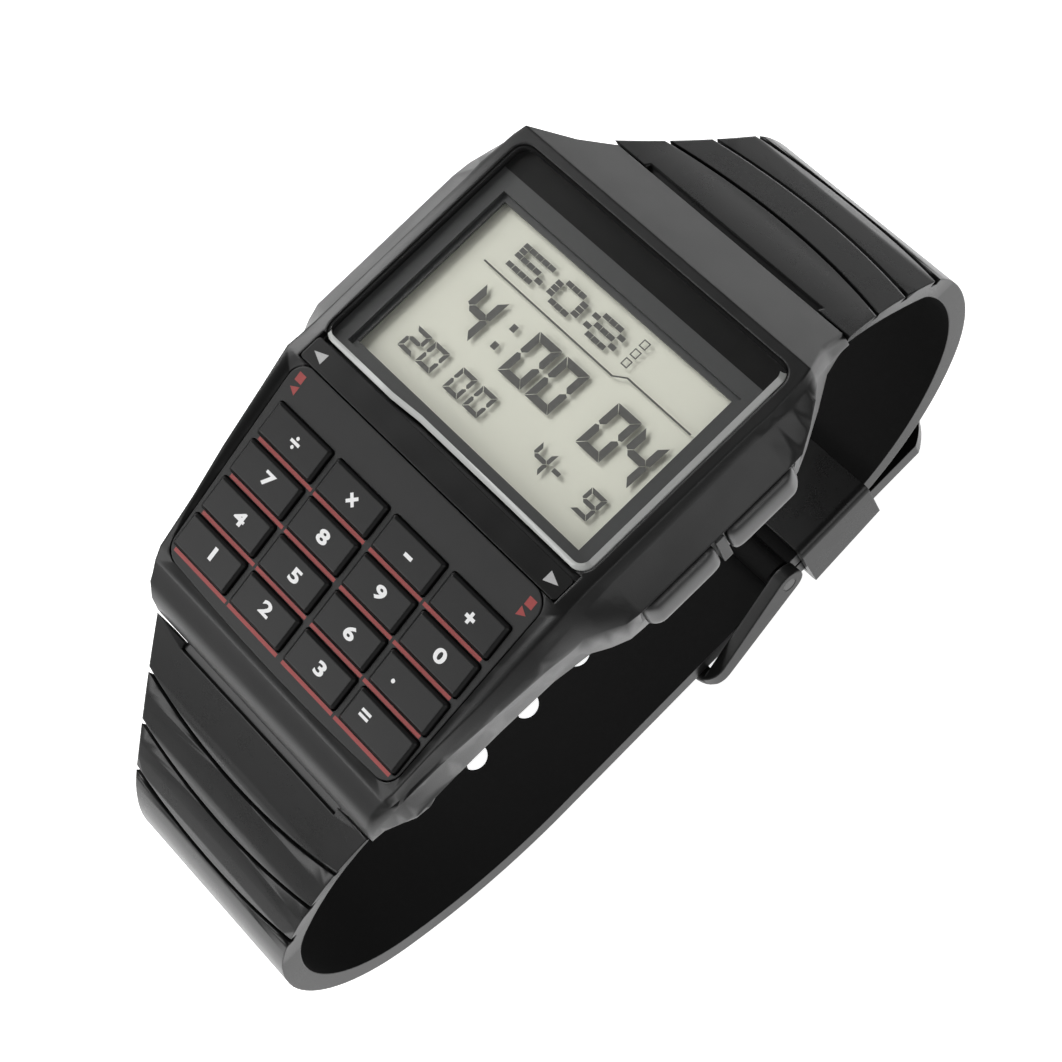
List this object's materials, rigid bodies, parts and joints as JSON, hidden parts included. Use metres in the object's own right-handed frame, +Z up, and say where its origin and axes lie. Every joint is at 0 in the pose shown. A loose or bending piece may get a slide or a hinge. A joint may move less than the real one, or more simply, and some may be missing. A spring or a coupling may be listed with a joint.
{
  "type": "calculator watch",
  "caption": "Black resin digital watch with a sloped calculator keypad, side buttons and a buckled resin strap, standing on the closed strap.",
  "frame": {"origin": "on the surface the watch stands on, below the middle of the strap loop", "axes": "+X towards 3 o'clock, +Y towards 12 o'clock, +Z up out of the display"},
  "size_m": [0.0366, 0.0741, 0.0449],
  "materials": {
    "black_resin": "moulded resin, satin",
    "strap_resin": "soft resin, satin",
    "gloss_black": "glossy",
    "key_black": "satin",
    "crystal_clear": "polished",
    "mask_print": "printed",
    "lcd_glass": "polarised",
    "reflector": "pearly film",
    "steel": "brushed",
    "spring_steel": "bright",
    "seal_rubber": "matte",
    "membrane_rubber": "matte",
    "board_green": "solder mask",
    "contact_film": "printed film",
    "module_plastic": "moulded",
    "chip_black": "epoxy",
    "brass": "plain"
  },
  "bodies": {
    "head": {"case_body": "black_resin", "crystal": "crystal_clear", "crystal_gasket": "seal_rubber", "display_mask": "mask_print", "lcd_panel": "lcd_glass", "backlight_panel": "reflector", "band_strip": "gloss_black", "keypad_plate": "gloss_black", "key_membrane": "membrane_rubber", "key_contact_sheet": "contact_film", "module_frame": "module_plastic", "connector_strips": "seal_rubber", "circuit_board": "board_green", "control_chip": "chip_black", "quartz_can": "steel", "battery": "steel", "battery_clip": "spring_steel", "buzzer_disc": "brass", "side_contacts": "spring_steel", "button_seals": "seal_rubber", "case_back": "steel", "case_back_gasket": "seal_rubber", "case_back_screws": "steel", "strap_spring_bars": "spring_steel"},
    "key_divide": {"key_divide": "key_black"},
    "key_times": {"key_times": "key_black"},
    "key_minus": {"key_minus": "key_black"},
    "key_plus": {"key_plus": "key_black"},
    "key_7": {"key_7": "key_black"},
    "key_8": {"key_8": "key_black"},
    "key_9": {"key_9": "key_black"},
    "key_0": {"key_0": "key_black"},
    "key_4": {"key_4": "key_black"},
    "key_5": {"key_5": "key_black"},
    "key_6": {"key_6": "key_black"},
    "key_point": {"key_point": "key_black"},
    "key_1": {"key_1": "key_black"},
    "key_2": {"key_2": "key_black"},
    "key_3": {"key_3": "key_black"},
    "key_equals": {"key_equals": "key_black"},
    "button_upper_right": {"button_upper_right": "black_resin", "button_clip_upper_right": "spring_steel"},
    "button_upper_left": {"button_upper_left": "black_resin", "button_clip_upper_left": "spring_steel"},
    "button_lower_right": {"button_lower_right": "black_resin", "button_clip_lower_right": "spring_steel"},
    "button_lower_left": {"button_lower_left": "black_resin", "button_clip_lower_left": "spring_steel"},
    "strap_short": {"strap_short": "strap_resin", "buckle_pin": "spring_steel"},
    "buckle_frame": {"buckle_frame": "black_resin"},
    "buckle_tongue": {"buckle_tongue": "spring_steel"},
    "keeper_loop": {"keeper_loop": "strap_resin"},
    "strap_long": {"strap_long": "strap_resin"}
  },
  "joints": [
    {"name": "key_divide_press", "type": "slide", "parent": "head", "child": "key_divide", "axis": [0, 0.2957, -0.9553], "range_m": [0, 0.00035], "stiffness_N_per_m": 300, "springref_m": -0.0003},
    {"name": "key_times_press", "type": "slide", "parent": "head", "child": "key_times", "axis": [0, 0.2957, -0.9553], "range_m": [0, 0.00035], "stiffness_N_per_m": 300, "springref_m": -0.0003},
    {"name": "key_minus_press", "type": "slide", "parent": "head", "child": "key_minus", "axis": [0, 0.2957, -0.9553], "range_m": [0, 0.00035], "stiffness_N_per_m": 300, "springref_m": -0.0003},
    {"name": "key_plus_press", "type": "slide", "parent": "head", "child": "key_plus", "axis": [0, 0.2957, -0.9553], "range_m": [0, 0.00035], "stiffness_N_per_m": 300, "springref_m": -0.0003},
    {"name": "key_7_press", "type": "slide", "parent": "head", "child": "key_7", "axis": [0, 0.2957, -0.9553], "range_m": [0, 0.00035], "stiffness_N_per_m": 300, "springref_m": -0.0003},
    {"name": "key_8_press", "type": "slide", "parent": "head", "child": "key_8", "axis": [0, 0.2957, -0.9553], "range_m": [0, 0.00035], "stiffness_N_per_m": 300, "springref_m": -0.0003},
    {"name": "key_9_press", "type": "slide", "parent": "head", "child": "key_9", "axis": [0, 0.2957, -0.9553], "range_m": [0, 0.00035], "stiffness_N_per_m": 300, "springref_m": -0.0003},
    {"name": "key_0_press", "type": "slide", "parent": "head", "child": "key_0", "axis": [0, 0.2957, -0.9553], "range_m": [0, 0.00035], "stiffness_N_per_m": 300, "springref_m": -0.0003},
    {"name": "key_4_press", "type": "slide", "parent": "head", "child": "key_4", "axis": [0, 0.2957, -0.9553], "range_m": [0, 0.00035], "stiffness_N_per_m": 300, "springref_m": -0.0003},
    {"name": "key_5_press", "type": "slide", "parent": "head", "child": "key_5", "axis": [0, 0.2957, -0.9553], "range_m": [0, 0.00035], "stiffness_N_per_m": 300, "springref_m": -0.0003},
    {"name": "key_6_press", "type": "slide", "parent": "head", "child": "key_6", "axis": [0, 0.2957, -0.9553], "range_m": [0, 0.00035], "stiffness_N_per_m": 300, "springref_m": -0.0003},
    {"name": "key_point_press", "type": "slide", "parent": "head", "child": "key_point", "axis": [0, 0.2957, -0.9553], "range_m": [0, 0.00035], "stiffness_N_per_m": 300, "springref_m": -0.0003},
    {"name": "key_1_press", "type": "slide", "parent": "head", "child": "key_1", "axis": [0, 0.2957, -0.9553], "range_m": [0, 0.00035], "stiffness_N_per_m": 300, "springref_m": -0.0003},
    {"name": "key_2_press", "type": "slide", "parent": "head", "child": "key_2", "axis": [0, 0.2957, -0.9553], "range_m": [0, 0.00035], "stiffness_N_per_m": 300, "springref_m": -0.0003},
    {"name": "key_3_press", "type": "slide", "parent": "head", "child": "key_3", "axis": [0, 0.2957, -0.9553], "range_m": [0, 0.00035], "stiffness_N_per_m": 300, "springref_m": -0.0003},
    {"name": "key_equals_press", "type": "slide", "parent": "head", "child": "key_equals", "axis": [0, 0.2957, -0.9553], "range_m": [0, 0.00035], "stiffness_N_per_m": 300, "springref_m": -0.0003},
    {"name": "button_upper_right_press", "type": "slide", "parent": "head", "child": "button_upper_right", "axis": [-1, 0, 0], "range_m": [0, 0.0006], "stiffness_N_per_m": 500, "springref_m": -0.0005},
    {"name": "button_upper_left_press", "type": "slide", "parent": "head", "child": "button_upper_left", "axis": [1, 0, 0], "range_m": [0, 0.0006], "stiffness_N_per_m": 500, "springref_m": -0.0005},
    {"name": "button_lower_right_press", "type": "slide", "parent": "head", "child": "button_lower_right", "axis": [-1, 0, 0], "range_m": [0, 0.0006], "stiffness_N_per_m": 500, "springref_m": -0.0005},
    {"name": "button_lower_left_press", "type": "slide", "parent": "head", "child": "button_lower_left", "axis": [1, 0, 0], "range_m": [0, 0.0006], "stiffness_N_per_m": 500, "springref_m": -0.0005},
    {"name": "short_strap_hinge", "type": "hinge", "parent": "head", "child": "strap_short", "pos_m": [0, 0.02203, 0.03585], "axis": [1, 0, 0], "range_deg": [-0.3, 0.3]},
    {"name": "long_strap_hinge", "type": "hinge", "parent": "head", "child": "strap_long", "pos_m": [0, -0.02181, 0.03364], "axis": [1, 0, 0], "range_deg": [-0.25, 0.25]},
    {"name": "buckle_frame_hinge", "type": "hinge", "parent": "strap_short", "child": "buckle_frame", "pos_m": [0, 0.01353, 0.00556], "axis": [1, 0, 0], "range_deg": [-0.5, 0.5]},
    {"name": "buckle_tongue_hinge", "type": "hinge", "parent": "strap_short", "child": "buckle_tongue", "pos_m": [0, 0.01353, 0.00556], "axis": [1, 0, 0], "range_deg": [-0.5, 3]},
    {"name": "keeper_slide", "type": "slide", "parent": "strap_short", "child": "keeper_loop", "axis": [0, 0.9986, 0.0523], "range_m": [-0.0006, 0.001]}
  ]
}
